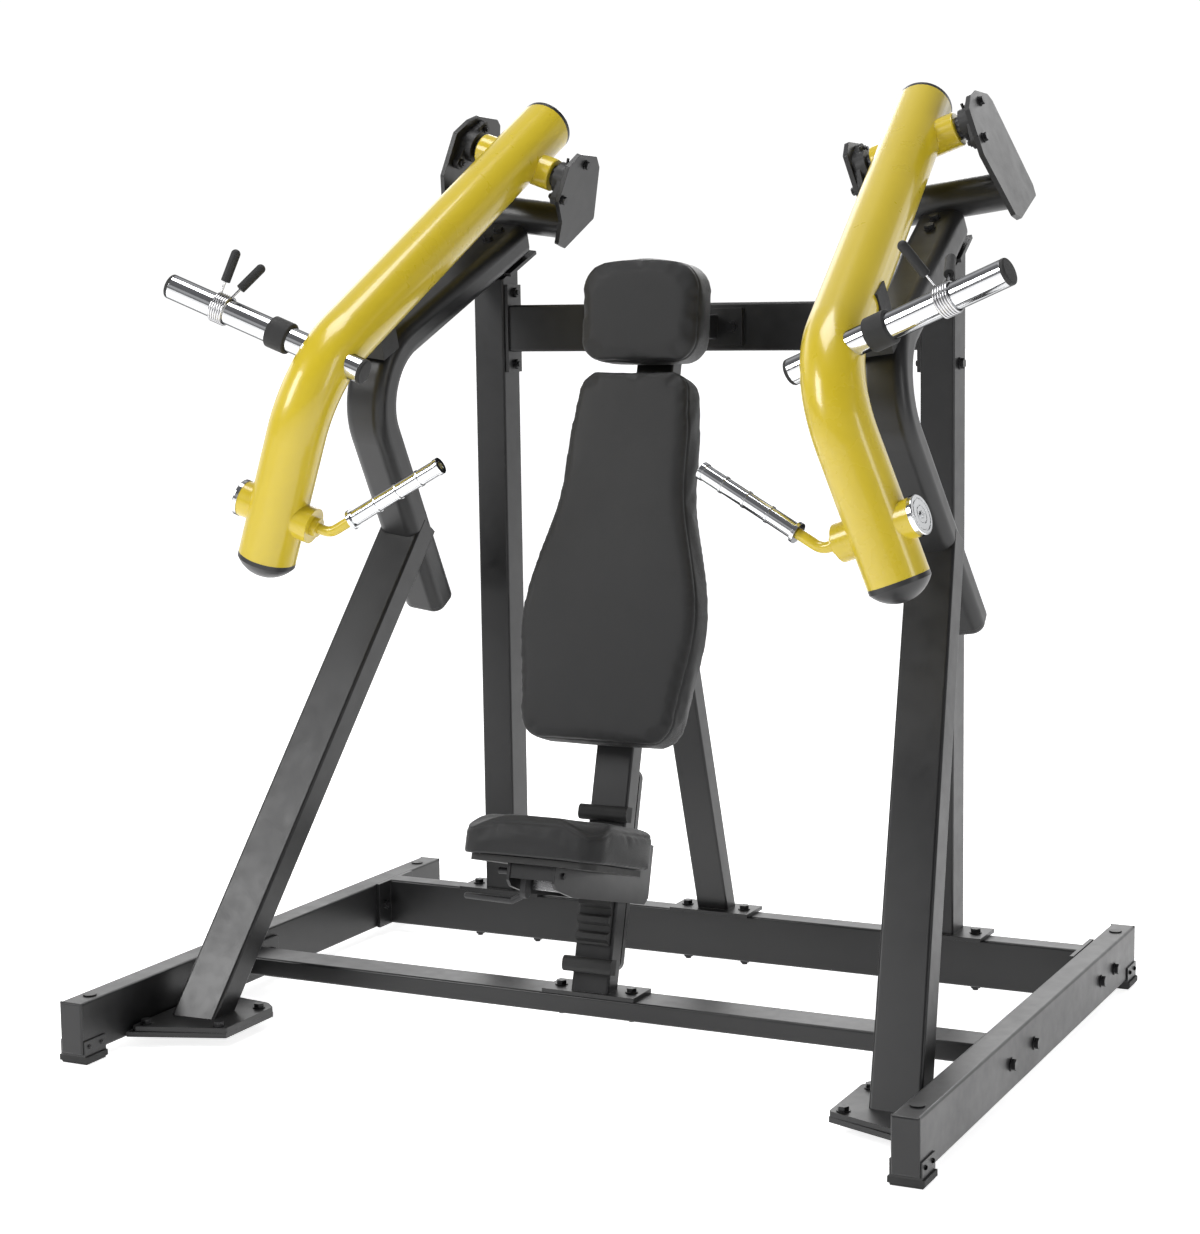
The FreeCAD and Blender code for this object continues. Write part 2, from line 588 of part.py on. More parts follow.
def bearing_housing(side):
    """Two-bolt flange housing on the inner face of a bearing plate."""
    base, nose = side * PLATE_IN, side * (PLATE_IN - 13)
    tip = side * BEARING_FACE
    bolt = bearing_bolt_offset()
    barrel = rod(V(tip, 0, 0), V(base, 0, 0), 34.0)
    ears = [rod(V(nose, 0, 0) + b, V(base, 0, 0) + b, 15.0) for b in (bolt, -bolt)]
    across = V(0, -bolt.z, bolt.y).normalize()
    steps = [(1, 15), (0, 34), (-1, 15), (-1, -15), (0, -34), (1, -15)]
    web = prism([V(nose, 0, 0) + bolt * k + across * w for k, w in steps], V(base - nose, 0, 0))
    housing = fuse(barrel, web, *ears)
    housing = housing.cut(rod(V(tip - side, 0, 0), V(base + side, 0, 0), JOURNAL_R + RUN_FIT))
    for b in (bolt, -bolt):
        housing = housing.cut(rod(V(nose - side, 0, 0) + b, V(base + side, 0, 0) + b, 5.3))
    x = side * (BEARING_FACE + 9)
    nipple = rod(V(x, 0, 33), V(x, -3, 44), 3.0)
    return to_pivot(fuse(housing, nipple))


def bearing_plates():
    plates = []
    bolt = bearing_bolt_offset()
    for side, outline in ((1, PLATE_OUT_SHAPE), (-1, PLATE_IN_SHAPE)):
        plate = prism([V(side * PLATE_IN, y, z) for y, z in outline], V(side * PLATE_T, 0, 0))
        corners = [e for e in plate.Edges if abs(e.BoundBox.XLength - PLATE_T) < 0.01]
        plate = plate.makeFillet(6.0, corners)
        for b in (bolt, -bolt):
            near, far = V(side * (PLATE_IN - 1), 0, 0), V(side * (PLATE_IN + PLATE_T + 1), 0, 0)
            plate = plate.cut(rod(near + b, far + b, 5.3))
        plates.append(to_pivot(plate))
    return plates


def cross_tube():
    """Tube between the bearing plates, coped onto the top of the bent tube."""
    a = V(-PLATE_IN, *CROSS_IN)
    b = V(PLATE_IN, *CROSS_OUT)
    d = (b - a).normalize()
    tube = rod(a - d * 30, b + d * 30, CROSS_R).cut(rod(a - d * 31, b + d * 31, CROSS_R - WALL))
    tube = tube.common(block(-PLATE_IN, PLATE_IN, -400, 400, -400, 400))
    tube = to_pivot(tube).cut(to_side(bent_outline(0)))
    return max(tube.Solids, key=lambda s: s.Volume)


def bearing_bolts():
    bolts = []
    bolt = bearing_bolt_offset()
    for side in (-1, 1):
        for b in (bolt, -bolt):
            seat = V(side * (PLATE_IN + PLATE_T), 0, 0) + b
            bolts.append(to_pivot(hex_bolt(seat, V(-side, 0, 0), PLATE_T + 13, radius=5.0)))
    return both(*bolts)


# --------------------------------------------------------------------- horn
def weight_horn():
    horn = rod(V(HORN_IN, 0, 0), V(HORN_OUT, 0, 0), HORN_R)
    return to_horn(horn.cut(rod(V(HORN_IN - 1, 0, 0), V(HORN_OUT + 1, 0, 0), HORN_R - 4)))


def horn_stops():
    """Rubber ring that the plates rest on, the outer cap and the inner plug."""
    ring = rod(V(RING_IN, 0, 0), V(RING_OUT, 0, 0), RING_R)
    ring = ring.makeFillet(3.0, [e for e in ring.Edges if e.BoundBox.XLength < 0.01])
    ring = ring.cut(rod(V(RING_IN - 1, 0, 0), V(RING_OUT + 1, 0, 0), HORN_R))
    caps = []
    for end, s in ((HORN_OUT, 1), (HORN_IN, -1)):
        cap = rod(V(end, 0, 0), V(end + s * 8, 0, 0), HORN_R)
        cap = cap.makeFillet(3.5, [e for e in cap.Edges if abs(e.BoundBox.XMin - end - s * 8) < 0.01
                                   and e.BoundBox.XLength < 0.01])
        caps.append(fuse(cap, rod(V(end - s * 20, 0, 0), V(end, 0, 0), HORN_R - 4.2)))
    return [to_horn(s) for s in (ring, *caps)]


def spring_collar(legs):
    """Close-wound spring with two legs that end in rubber grips."""
    inner = HORN_R + 0.4
    mean = inner + COIL_WIRE / 2
    half = COIL_TURNS * COIL_WIRE / 2
    x0 = COLLAR_POS - half
    rings = []
    for i in range(COIL_TURNS):
        centre = V(x0 + COIL_WIRE * (i + 0.5), 0, 0)
        rings.append(Part.makeTorus(mean, COIL_WIRE / 2 + 0.12, centre, V(1, 0, 0)))
    body = fuse(*rings).cut(rod(V(x0 - 9, 0, 0), V(x0 + 2 * half + 9, 0, 0), inner))
    grips = []
    for s, reach in legs:
        foot = V(COLLAR_POS + s * (half - 2.5), 0, mean)
        tip = V(COLLAR_POS, 0, 0) + V(*reach)
        joint = foot + (tip - foot) * 0.3
        end = foot + (tip - foot) * 0.5
        body = body.fuse(rod(foot, end, 2.4))
        grip = fuse(rod(joint, tip, COLLAR_GRIP_R), Part.makeSphere(COLLAR_GRIP_R, tip))
        grip = grip.makeFillet(2.0, [e for e in grip.Edges if (e.CenterOfMass - joint).Length < 0.5])
        grips.append(grip.cut(rod(foot, end, 2.4)))
    body = body.cut(rod(V(x0 - 9, 0, 0), V(x0 + 2 * half + 9, 0, 0), inner))
    return to_horn(max(body.Solids, key=lambda s: s.Volume)), [to_horn(g) for g in grips]


# ------------------------------------------------------------------- handle
def handle_rod():
    """Bent rod that turns in the handle hub, with its retaining washer."""
    h = HANDLE_POS
    a = math.radians(ROD_ANGLE)
    grip_dir = V(-math.cos(a), 0, math.sin(a))
    bend = h + V(-ROD_STRAIGHT, 0, 0)

    def section(origin, direction):
        return Part.Face(Part.Wire(Part.makeCircle(ROD_R, origin, direction)))

    tip = bend + grip_dir * (GRIP_END - 12)
    shape = bent_bar(section, h + V(LOW_HUB_OUT - 8, 0, 0), bend, tip, ROD_BEND_R)
    collar = rod(h + V(LOW_HUB_IN - 12, 0, 0), h + V(LOW_HUB_IN - 0.4, 0, 0), 19.0)
    washer = rod(h + V(LOW_HUB_OUT - 15.6, 0, 0), h + V(LOW_HUB_OUT - 11, 0, 0), 22.0)
    return to_arm(fuse(shape, collar, washer))


def handle_grip():
    """Metal sleeve with an end flange and raised rings."""
    h = HANDLE_POS
    a = math.radians(ROD_ANGLE)
    d = V(-math.cos(a), 0, math.sin(a))
    bend = h + V(-ROD_STRAIGHT, 0, 0)

    def at(s):
        return bend + d * s

    sleeve = rod(at(GRIP_START), at(GRIP_END), GRIP_R)
    flange = rod(at(GRIP_START), at(GRIP_START + 7), GRIP_R + 5)
    rings = []
    span = GRIP_END - GRIP_START
    for i in (1, 2, 3):
        s = GRIP_START + span * (0.06 + 0.235 * i)
        rings.append(rod(at(s - 2), at(s + 2), GRIP_R + 1.6))
    tip = rod(at(GRIP_END - 9), at(GRIP_END), GRIP_R + 1.6)
    grip = fuse(sleeve, flange, tip, *rings)
    grip = grip.cut(rod(at(GRIP_START - 1), at(GRIP_END - 12), ROD_R))
    return to_arm(grip.cut(rod(at(GRIP_END - 13), at(GRIP_END + 1), 8.0)))


def hub_disc():
    """Polished cover of the handle hub, with rings and a centre screw."""
    h = HANDLE_POS + V(LOW_HUB_OUT, 0, 0)
    disc = rod(h, h + V(DISC_T, 0, 0), DISC_R)
    disc = disc.makeFillet(2.5, [e for e in disc.Edges if e.BoundBox.XLength < 0.01
                                 and e.BoundBox.XMin > h.x + DISC_T - 0.01])
    for outer, inner in ((30.0, 27.5), (17.0, 15.0)):
        groove = rod(h + V(DISC_T - 1.2, 0, 0), h + V(DISC_T + 1, 0, 0), outer)
        disc = disc.cut(groove.cut(rod(h + V(DISC_T - 2, 0, 0), h + V(DISC_T + 2, 0, 0), inner)))
    screw = rod(h + V(DISC_T, 0, 0), h + V(DISC_T + 2.5, 0, 0), 6.5)
    socket = rod(h + V(DISC_T + 0.5, 0, 0), h + V(DISC_T + 4, 0, 0), 3.0)
    return to_arm(fuse(disc, screw).cut(socket))


# ----------------------------------------------------------------- seat post
LEAN = math.radians(POST_LEAN)
POST_UP = V(0, math.sin(LEAN), math.cos(LEAN))
POST_BACK = V(0, math.cos(LEAN), -math.sin(LEAN))
SEAT_HEIGHT = 279.0                 # seat origin, along the post from its base
POST_ORIGIN = V(0, POST_FRONT_Y, POST_BASE_Z)
SEAT_ORIGIN = POST_ORIGIN + POST_UP * SEAT_HEIGHT


def to_post(shape):
    """Local frame of the post: y behind its front face, z up its slope."""
    return place(shape, POST_ORIGIN, V(1, 0, 0), POST_BACK, POST_UP)


def to_seat(shape):
    return place(shape, SEAT_ORIGIN, V(1, 0, 0), POST_BACK, POST_UP)


def post_outline(shrink):
    w = POST_W / 2 - shrink
    bar = block(-w, w, shrink, POST_D - shrink, -40, POST_TOP)
    return to_post(round_long_edges(bar, "z", TUBE_CORNER - shrink))


def seat_post():
    above = block(-300, 300, -900, 900, POST_BASE_Z, 1600)
    post = post_outline(0).cut(post_outline(WALL)).common(above)
    base = block(-99, 99, FRONT_Y - 40, FRONT_Y + 40, FRONT_TOP, POST_BASE_Z)
    lid = to_post(block(-POST_W / 2, POST_W / 2, 0, POST_D, POST_TOP - 4, POST_TOP)).common(post_outline(0))
    spacers = [to_post(block(-60, 60, -PAD_GAP, 0, s, s + 70)) for s in PAD_SPACERS]
    spacers = [s.cut(back_board()).cut(back_pad()) for s in spacers]
    spacers = [max(s.Solids, key=lambda part: part.CenterOfMass.y) for s in spacers]
    post = fuse(post, base, lid, *spacers)
    for side in (-1, 1):
        seat = V(side * POST_BOLT_X, FRONT_Y, POST_BASE_Z)
        post = drill(post, seat, V(0, 0, -1), POST_BASE_Z - FRONT_TOP + 1)
    return post


PAD_SPACERS = [560.0, 1090.0]
PAD_GAP = 40.0


def top_tie():
    """Bracket from the head of the post back to the upper beam."""
    y1 = REAR_Y - UPPER_W / 2
    plate = block(-85, 85, y1 - 8, y1, UPPER_Z - 38, UPPER_Z + 38)
    for side in (-1, 1):
        plate = drill(plate, V(side * TIE_BOLT_X, y1 - 8, UPPER_Z), V(0, 1, 0), 10)
    bar = tube_box(-30, 30, 150, y1 - 8, UPPER_Z - 25, UPPER_Z + 25, "y").cut(post_outline(0))
    bar = max(bar.Solids, key=lambda s: s.CenterOfMass.y)
    return fuse(bar, plate)


def rear_strut():
    base_z = RAIL_Z1
    plate = block(-90, 90, REAR_Y - 42, REAR_Y + 42, base_z, base_z + 8)
    for side in (-1, 1):
        plate = drill(plate, V(side * STRUT_BOLTS[0], REAR_Y, base_z + 8), V(0, 0, -1), 9)
    up = V(0, -STRUT_SLOPE, 1).normalize()
    back = V(0, up.z, -up.y)

    def outline(shrink):
        w, d = STRUT_W / 2 - shrink, STRUT_D / 2 - shrink
        bar = round_long_edges(block(-w, w, -d, d, -60, 1150), "z", TUBE_CORNER - shrink)
        return place(bar, V(0, REAR_Y + 4, base_z + 8), V(1, 0, 0), back, up)

    above = block(-200, 200, -600, 900, base_z + 8, 1500)
    bar = outline(0).cut(outline(WALL)).common(above).cut(post_outline(0))
    bar = max(bar.Solids, key=lambda s: s.CenterOfMass.y)
    return fuse(bar, plate)


def post_bolts():
    bolts = []
    for side in (-1, 1):
        base = V(side * POST_BOLT_X, FRONT_Y, POST_BASE_Z)
        bolts.append(hex_bolt(base, V(0, 0, -1), POST_BASE_Z - FRONT_TOP + FRONT_H))
        bolts.append(hex_bolt(V(side * STRUT_BOLTS[0], REAR_Y, RAIL_Z1 + 8), V(0, 0, -1), 8 + REAR_H))
        tie = V(side * TIE_BOLT_X, REAR_Y - UPPER_W / 2 - 8, UPPER_Z)
        bolts.append(hex_bolt(tie, V(0, 1, 0), 8 + UPPER_W))
    return bolts


def height_rack():
    """Notched bar on the front of the post that holds the seat's height."""
    low, count = 92.0, 7
    rack = block(-34, 34, -8, 0, low, low + RACK_PITCH * count)
    for i in range(count):
        z = low + RACK_PITCH * i
        tooth = [(-8, 5), (-18, 11), (-18, 21), (-8, 26)]
        step = prism([V(-34, y, z + dz) for y, dz in tooth], V(68, 0, 0))
        rack = rack.fuse(step)
    return to_post(rack.removeSplitter())


def post_bumpers():
    """Rubber rolls across the post that end the seat's travel."""
    rolls = []
    for z in (52.0, 347.0):
        roll = block(-52, 52, -26, 0, z - 15, z + 15)
        long_edges = [e for e in roll.Edges if e.BoundBox.XLength > 50]
        front = [e for e in long_edges if all(abs(v.Y + 26) < 0.01 for v in e.Vertexes)]
        rolls.append(to_post(roll.makeFillet(11.0, front)))
    return rolls


GUIDE_BACK = POST_D + 14.0


def post_guide():
    """Round-ended guide bar on the back of the post."""
    bar = block(-POST_W / 2, POST_W / 2, POST_D, GUIDE_BACK, 45, 440)
    corners = [e for e in bar.Edges if abs(e.BoundBox.YLength - 14) < 0.01 and e.BoundBox.XLength < 0.01]
    return to_post(bar.makeFillet(18.0, corners))


# ------------------------------------------------------------------ carriage
SLIDE_GAP = 0.5
CHEEK_IN, CHEEK_T = POST_W / 2 + 4.0, 6.0
AXLE_Y, AXLE_Z, AXLE_R = -262.0, -66.0, 6.0
LOCK_NOSE = -19.0                   # nose of the lock bolt, 1 mm clear of the teeth


def seat_carriage():
    """Welded carriage: two cheeks, a rear wall and two cross plates."""
    inner, outer = CHEEK_IN, CHEEK_IN + CHEEK_T
    outline = [(-296, -51), (-296, -82), (-284, -93), (-212, -103), (104, -100),
               (120, -86), (120, 18), (-62, 18), (-62, -51)]
    cheek = prism([V(inner, y, z) for y, z in outline], V(CHEEK_T, 0, 0))
    cheek = cheek.cut(rod(V(inner - 1, AXLE_Y, AXLE_Z), V(outer + 1, AXLE_Y, AXLE_Z), AXLE_R + RUN_FIT))
    rear = block(-inner, inner, 100, 106, -94, 8)
    nose = block(-inner, inner, -294, -288, -78, -52)
    shelf = block(-inner, inner, -110, -70, -57, -51)
    return to_seat(fuse(cheek, mirrored(cheek), rear, nose, shelf))


def glide_blocks():
    """Nylon blocks that keep the carriage square on the post."""
    blocks = []
    for z in (-92.0, -16.0):
        for s in (-1, 1):
            x0, x1 = POST_W / 2 + SLIDE_GAP, CHEEK_IN
            blocks.append(block(min(s * x0, s * x1), max(s * x0, s * x1), 4, 40, z, z + 24))
        blocks.append(block(-28, 28, GUIDE_BACK + SLIDE_GAP, 100, z, z + 22))
    return [to_seat(b) for b in blocks]


def seat_slab(inset, z0, z1):
    """Seat outline with round corners, wider at the front, inset all round."""
    w = SEAT_W / 2 - inset
    slab = block(-w, w, SEAT_REAR - SEAT_LEN + inset, SEAT_REAR - inset, z0, z1)
    upright = [e for e in slab.Edges if e.BoundBox.ZLength > z1 - z0 - 0.01]
    front = [e for e in upright if e.BoundBox.YMax < SEAT_REAR - SEAT_LEN / 2]
    slab = slab.makeFillet(SEAT_FRONT_R - inset, front)
    upright = [e for e in slab.Edges if e.BoundBox.ZLength > z1 - z0 - 0.01]
    rear = [e for e in upright if e.BoundBox.YMin > SEAT_REAR - inset - 0.1]
    return slab.makeFillet(SEAT_REAR_R - inset / 2, rear)


def seat_board():
    """Plywood base under the seat pad, on the carriage's cheeks."""
    return to_seat(seat_slab(14.0, SEAT_BOTTOM - 6, SEAT_BOTTOM + 6))


def seat_pad():
    pad = seat_slab(0.0, SEAT_BOTTOM + 6, SEAT_BOTTOM + 6 + SEAT_T)
    top = [e for e in pad.Edges if e.BoundBox.ZLength < 0.01 and e.BoundBox.ZMin > SEAT_BOTTOM + SEAT_T]
    return to_seat(pad.makeFillet(14.0, top))


def seat_lever():
    """Release lever: axle through the cheeks, flat arm, bent hand rod."""
    a = V(0, AXLE_Y, AXLE_Z)
    axle = rod(a + V(-84, 0, 0), a + V(54, 0, 0), AXLE_R)
    arm = block(-32, -20, AXLE_Y - 11, AXLE_Y + 11, AXLE_Z - 36, AXLE_Z)
    boss = rod(a + V(-32, 0, 0), a + V(-20, 0, 0), 13.0)
    toe = rod(a + V(-32, 0, -36), a + V(-20, 0, -36), 11.0)
    path = [a + V(-26, 0, -40), a + V(-50, -2, -54), a + V(-142, -8, -52)]
    parts = [axle, arm, boss, toe, Part.makeSphere(AXLE_R, path[2])]
    for start, end in zip(path, path[1:]):
        parts.append(rod(start, end, AXLE_R))
        parts.append(Part.makeSphere(AXLE_R, start))
    return to_seat(fuse(*parts))


def lock_bolt():
    """Sliding bolt whose nose meets the teeth of the rack."""
    bar = block(-17, 31, -250, -30, -95, -74)
    nose = block(-17, 31, -31, LOCK_NOSE, -93, -86)
    return to_seat(fuse(bar, nose))


# --------------------------------------------------------------------- pads
PAD_LEAN = 16.7
BACK_T, BOARD_T = 72.0, 13.0
BACK_FRONT = V(0, -58, 797)


def back_frame():
    a = math.radians(PAD_LEAN)
    return V(1, 0, 0), V(0, math.cos(a), -math.sin(a)), V(0, math.sin(a), math.cos(a))


BACK_BOTTOM, BACK_TOP = -222.0, 512.0


def back_outline(inset):
    """Half outline: wide hips, a waist and a narrower top with round corners."""
    b, t = BACK_BOTTOM + inset, BACK_TOP - inset
    hip, waist, top = 182 - inset, 126 - inset, 110 - inset
    points = [V(hip - 62, 0, b), V(hip - 32, 0, b + 22), V(hip - 18, 0, b + 80),
              V(hip, 0, b + 222), V(hip - 6, 0, b + 300), V(hip - 32, 0, b + 400),
              V(waist + 2, 0, b + 480), V(waist - 8, 0, b + 600), V(top, 0, t - 60),
              V(top - 8, 0, t - 22), V(top - 34, 0, t)]
    curve = Part.BSplineCurve()
    curve.interpolate(points)
    right = curve.toShape()
    left = mirrored(right)
    return Part.Face(Part.Wire([right, Part.makeLine(points[-1], V(-points[-1].x, 0, t)), left,
                                Part.makeLine(V(-points[0].x, 0, b), points[0])]))


def back_pad():
    pad = back_outline(0).extrude(V(0, BACK_T, 0))
    return place(pad, BACK_FRONT, *back_frame())


def back_board():
    board = back_outline(12).extrude(V(0, BOARD_T, 0))
    board.translate(V(0, BACK_T, 0))
    return place(board, BACK_FRONT, *back_frame())


HEAD_LEAN = 7.0
HEAD_FRONT = V(0, 107, 1404)
HEAD_W, HEAD_H, HEAD_T = 250.0, 204.0, 78.0


def head_frame():
    a = math.radians(HEAD_LEAN)
    return V(1, 0, 0), V(0, math.cos(a), -math.sin(a)), V(0, math.sin(a), math.cos(a))


def head_pad():
    face = rounded_section(HEAD_W, HEAD_H, 46.0, V(0, 0, 0), V(1, 0, 0), V(0, 0, 1))
    return place(face.extrude(V(0, HEAD_T, 0)), HEAD_FRONT, *head_frame())


def head_board():
    face = rounded_section(HEAD_W - 24, HEAD_H - 24, 36.0, V(0, HEAD_T, 0), V(1, 0, 0), V(0, 0, 1))
    board = place(face.extrude(V(0, 12, 0)), HEAD_FRONT, *head_frame())
    return board.cut(post_outline(0))


def head_bracket():
    """Angled plate between the post's head and the head board."""
    plate = place(block(-45, 45, HEAD_T + 12, HEAD_T + 70, -60, 10), HEAD_FRONT, *head_frame())
    parts = plate.cut(post_outline(0)).cut(top_tie()).Solids
    return min(parts, key=lambda s: s.CenterOfMass.y)


# --------------------------------------------------------------------- build
def main():
    save_pair("side_rail", side_rail())
    save("rail_end_caps", *both(rail_end_cap(True), rail_end_cap(False)))
    save("rail_plug_discs", *both(*[plug_disc(y) for y in PLUG_Y]))
    save("foot_brackets", *both(foot_bracket(-FOOT_Y), foot_bracket(FOOT_Y)))
    save("rubber_feet", *both(rubber_foot(-FOOT_Y), rubber_foot(FOOT_Y)))
    save("rear_cross_beam", rear_cross_beam())
    save("front_cross_beam", front_cross_beam())
    save_pair("bent_frame_tube", bent_frame_tube())
    save("bent_tube_caps", *both(bent_tube_cap()))
    save_pair("front_leg", front_leg())
    save("rest_stop_pads", *both(rest_stop_pad()))
    save_pair("upright", upright())
    save("upper_cross_beam", upper_cross_beam())
    save("frame_bolts", *rail_bolts(), *leg_bolts(), *upright_bolts(), *post_bolts())
    save("cross_tubes", *both(cross_tube()))
    save("bearing_plates", *both(*bearing_plates()))
    save("bearing_housings", *both(bearing_housing(1), bearing_housing(-1)))
    save("bearing_bolts", *bearing_bolts())
    save_pair("arm_tube", arm_tube())
    save_pair("arm_end_caps", *arm_end_caps())
    save_pair("pivot_shaft", pivot_shaft())
    save_pair("weight_horn", weight_horn())
    save_pair("horn_stops", *horn_stops())
    coil, grips = spring_collar(RIGHT_LEGS)
    save("right_collar_spring", coil)
    save("right_collar_grips", *grips)
    coil, grips = spring_collar(LEFT_LEGS)
    save("left_collar_spring", mirrored(coil))
    save("left_collar_grips", *[mirrored(g) for g in grips])
    save_pair("handle_rod", handle_rod())
    save_pair("handle_grip", handle_grip())
    save_pair("hub_disc", hub_disc())
    save("seat_post", seat_post())
    save("top_tie", top_tie())
    save("rear_strut", rear_strut())
    save("height_rack", height_rack())
    save("post_bumpers", *post_bumpers())
    save("post_guide", post_guide())
    save("seat_carriage", seat_carriage())
    save("glide_blocks", *glide_blocks())
    save("seat_board", seat_board())
    save("seat_pad", seat_pad())
    save("seat_lever", seat_lever())
    save("lock_bolt", lock_bolt())
    save("back_board", back_board())
    save("back_pad", back_pad())
    save("head_bracket", head_bracket())
    save("head_board", head_board())
    save("head_pad", head_pad())


main()
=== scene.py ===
import math
import bmesh
import bpy
import numpy as np
from mathutils import Matrix, Vector


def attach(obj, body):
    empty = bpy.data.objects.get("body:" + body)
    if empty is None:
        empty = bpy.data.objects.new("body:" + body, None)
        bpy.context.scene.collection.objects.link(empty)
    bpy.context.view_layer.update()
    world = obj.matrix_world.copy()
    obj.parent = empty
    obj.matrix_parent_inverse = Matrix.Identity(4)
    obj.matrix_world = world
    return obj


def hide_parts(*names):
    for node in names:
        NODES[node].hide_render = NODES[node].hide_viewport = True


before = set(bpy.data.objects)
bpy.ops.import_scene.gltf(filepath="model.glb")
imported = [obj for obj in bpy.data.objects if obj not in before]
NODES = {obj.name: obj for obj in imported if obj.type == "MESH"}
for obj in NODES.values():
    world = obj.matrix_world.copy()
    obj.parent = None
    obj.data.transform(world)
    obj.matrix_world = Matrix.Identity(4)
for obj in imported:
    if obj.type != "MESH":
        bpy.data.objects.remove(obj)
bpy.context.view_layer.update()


# ------------------------------------------------------------------ materials
def node(tree, kind, **inputs):
    """Adds a shader node and sets its inputs by name."""
    n = tree.nodes.new(kind)
    for key, value in inputs.items():
        n.inputs[key.replace("_", " ")].default_value = value
    return n


def ramp(tree, factor, stops):
    """Colour ramp over a factor; stops are (position, colour)."""
    r = tree.nodes.new("ShaderNodeValToRGB")
    r.color_ramp.elements.remove(r.color_ramp.elements[0])
    r.color_ramp.elements[0].position = stops[0][0]
    r.color_ramp.elements[0].color = (*stops[0][1], 1)
    for pos, colour in stops[1:]:
        e = r.color_ramp.elements.new(pos)
        e.color = (*colour, 1)
    tree.links.new(factor, r.inputs["Fac"])
    return r.outputs["Color"]


def shade(colour, k):
    return tuple(min(1.0, c * k) for c in colour)


DUST_COLOUR = (0.35, 0.34, 0.32, 1)


